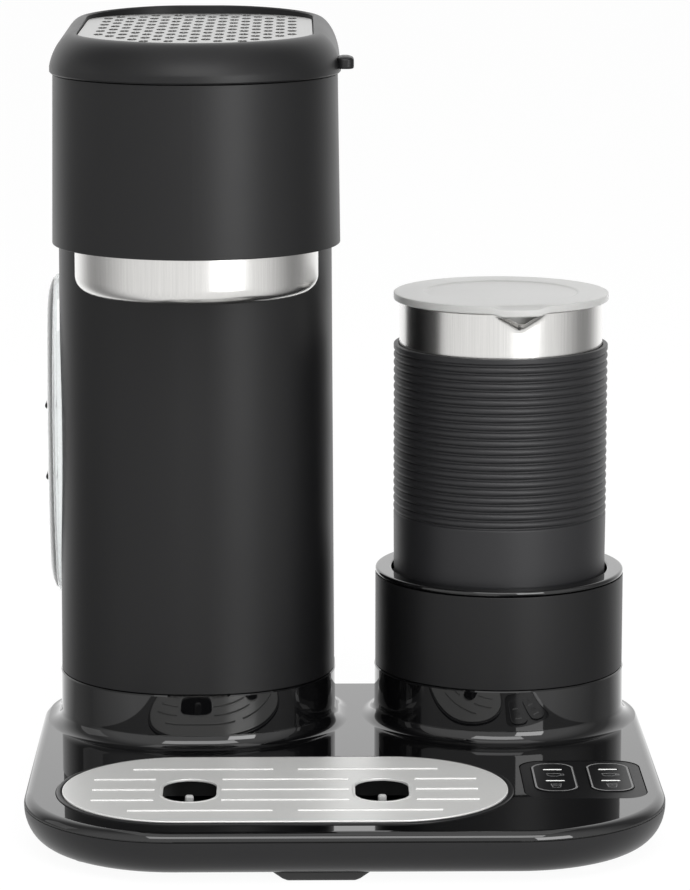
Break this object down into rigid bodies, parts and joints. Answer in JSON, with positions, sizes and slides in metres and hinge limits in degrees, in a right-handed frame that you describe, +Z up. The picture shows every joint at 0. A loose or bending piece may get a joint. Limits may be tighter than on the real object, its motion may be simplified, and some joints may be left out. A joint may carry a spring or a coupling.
{
  "type": "pod coffee machine",
  "caption": "Upright pod coffee machine: an overhanging brew head above a drip tray, push buttons, and a lift-off milk frothing jug on its own heated stand.",
  "frame": {"origin": "on the surface the feet stand on, under the middle of the base", "axes": "+Z up, -Y towards the user, +X towards the milk frother"},
  "size_m": [0.2684, 0.249, 0.3385],
  "materials": {
    "housing_matte": "matte black plastic",
    "housing_gloss": "gloss black plastic",
    "plastic_satin": "satin black plastic",
    "rubber_black": "black rubber",
    "silicone_black": "black silicone",
    "silicone_white": "white silicone",
    "steel_satin": "satin stainless steel",
    "aluminium_cast": "cast aluminium",
    "window_clear": "clear plastic",
    "plastic_frosted": "frosted translucent plastic",
    "plastic_grey": "light grey plastic",
    "board_green": "green circuit board",
    "magnet_steel": "plated magnet",
    "light_white": "lit white plastic"
  },
  "bodies": {
    "root": {"base_bottom_cover": "plastic_satin", "base_top_cover": "housing_gloss", "foot_front_left": "rubber_black", "foot_front_right": "rubber_black", "foot_rear_left": "rubber_black", "foot_rear_right": "rubber_black", "foot_front_centre": "rubber_black", "base_screw_1": "steel_satin", "base_screw_2": "steel_satin", "base_screw_3": "steel_satin", "base_screw_4": "steel_satin", "control_board": "board_green", "switch_coffee": "plastic_satin", "switch_milk": "plastic_satin", "power_board": "board_green", "cord_gland": "rubber_black", "control_panel": "housing_gloss", "tower_shell": "housing_matte", "window_lens": "window_clear", "tower_frame": "plastic_satin", "water_reservoir": "plastic_frosted", "water_pump": "plastic_satin", "flow_heater": "aluminium_cast", "inlet_hose": "silicone_white", "riser_tube": "silicone_white", "head_shell": "housing_matte", "lid_hinge_pin": "steel_satin", "head_floor": "plastic_satin", "head_deck": "plastic_satin", "spout_cup": "steel_satin", "brew_chamber": "plastic_satin", "brew_basket": "plastic_satin", "pod_holder": "plastic_grey", "exit_needle": "steel_satin", "frother_sleeve": "housing_matte", "frother_well": "housing_gloss", "heating_plate": "steel_satin", "motor_bracket": "plastic_satin", "frother_motor": "steel_satin"},
    "lid": {"lid_shell": "housing_matte", "lid_grille": "steel_satin", "lid_liner": "plastic_satin", "inlet_needle": "steel_satin", "pod_seal": "silicone_white"},
    "drip_tray": {"drip_tray": "plastic_satin", "cover_post_left": "plastic_grey", "cover_post_right": "plastic_grey"},
    "tray_cover": {"drip_tray_cover": "steel_satin"},
    "button_coffee": {"button_coffee": "housing_gloss", "light_bar_coffee_upper": "light_white", "light_bar_coffee_lower": "light_white"},
    "button_milk": {"button_milk": "housing_gloss", "light_bar_milk_upper": "light_white", "light_bar_milk_lower": "light_white"},
    "jug": {"jug_body": "steel_satin", "jug_sleeve": "silicone_black"},
    "jug_lid": {"jug_lid": "plastic_frosted", "jug_lid_seal": "silicone_white"},
    "drive_magnet": {"drive_magnet": "magnet_steel"},
    "whisk": {"whisk": "steel_satin"}
  },
  "joints": [
    {"name": "lid_hinge", "type": "hinge", "parent": "root", "child": "lid", "pos_m": [-0.0618, 0.1219, 0.322], "axis": [-1, 0, 0], "range_deg": [0, 95]},
    {"name": "drip_tray_lift", "type": "slide", "parent": "root", "child": "drip_tray", "axis": [0, 0, 1], "range_m": [0, 0.05]},
    {"name": "tray_cover_lift", "type": "slide", "parent": "drip_tray", "child": "tray_cover", "axis": [0, 0, 1], "range_m": [0, 0.04]},
    {"name": "button_coffee_press", "type": "slide", "parent": "root", "child": "button_coffee", "axis": [0, 0, -1], "range_m": [0, 0.001], "stiffness_N_per_m": 400, "springref_m": -0.0005},
    {"name": "button_milk_press", "type": "slide", "parent": "root", "child": "button_milk", "axis": [0, 0, -1], "range_m": [0, 0.001], "stiffness_N_per_m": 400, "springref_m": -0.0005},
    {"name": "jug_lift", "type": "slide", "parent": "root", "child": "jug", "axis": [0, 0, 1], "range_m": [0, 0.15]},
    {"name": "jug_lid_lift", "type": "slide", "parent": "jug", "child": "jug_lid", "axis": [0, 0, 1], "range_m": [0, 0.06]},
    {"name": "drive_magnet_spin", "type": "hinge", "parent": "root", "child": "drive_magnet", "pos_m": [0.0708, 0.0677, 0.0629], "axis": [0, 0, 1], "continuous": true},
    {"name": "whisk_spin", "type": "hinge", "parent": "jug", "child": "whisk", "pos_m": [0.0708, 0.0677, 0.0744], "axis": [0, 0, 1], "continuous": true}
  ],
  "couplings": [
    {"joint": "whisk_spin", "follows": "drive_magnet_spin", "ratio": 1}
  ]
}
